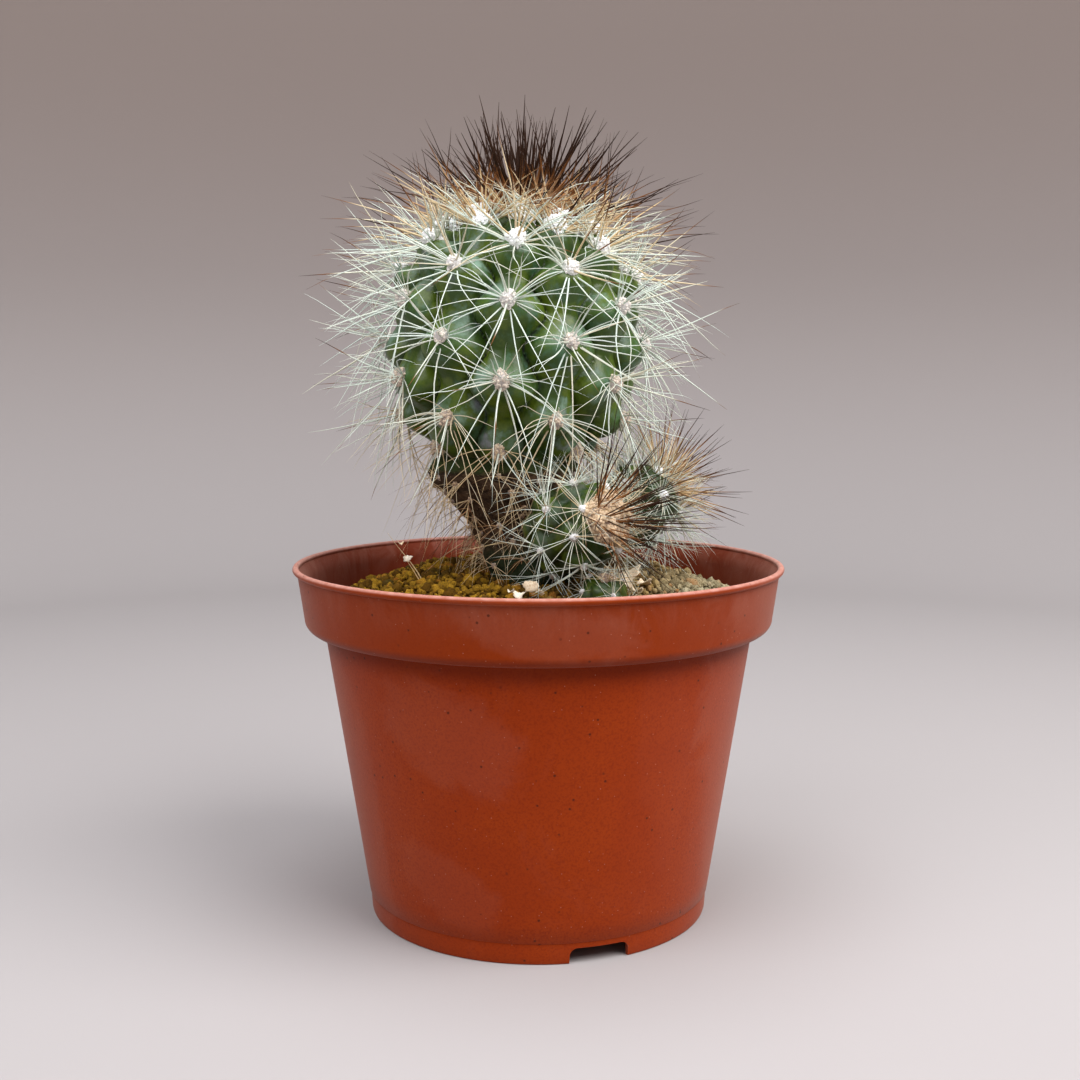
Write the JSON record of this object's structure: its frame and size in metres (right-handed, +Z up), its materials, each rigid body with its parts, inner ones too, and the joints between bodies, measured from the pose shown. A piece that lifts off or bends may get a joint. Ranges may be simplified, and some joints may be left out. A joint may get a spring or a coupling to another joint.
{
  "type": "potted cactus",
  "caption": "Globular ribbed cactus with pale spines, a dark-spined crown and small offsets, on a corky stem in a round plastic nursery pot filled with gritty soil.",
  "frame": {"origin": "centre of the pot's foot, on the surface it stands on", "axes": "+Z up along the pot's axis, -Y towards the side with the front offset"},
  "size_m": [0.085, 0.085, 0.1388],
  "materials": {
    "terracotta_plastic": "satin, scuffed, with a faint mineral haze",
    "mineral_grit": "dry crumb, matt",
    "corky_bark": "rough, matt, cracked",
    "green_skin": "waxy skin, satin",
    "pale_spines": "horn-like, slightly translucent",
    "dark_spines": "horn-like, satin",
    "areole_wool": "felted wool, matt",
    "dry_petal": "papery, matt"
  },
  "bodies": {
    "root": {"pot": "terracotta_plastic", "soil": "mineral_grit", "trunk": "corky_bark", "main_head": "green_skin", "main_crown": "dark_spines", "front_offset": "green_skin", "front_crown": "dark_spines", "back_offset": "green_skin", "back_crown": "dark_spines", "small_offset": "green_skin", "petal_scrap_1": "dry_petal", "petal_scrap_2": "dry_petal"}
  },
  "joints": []
}
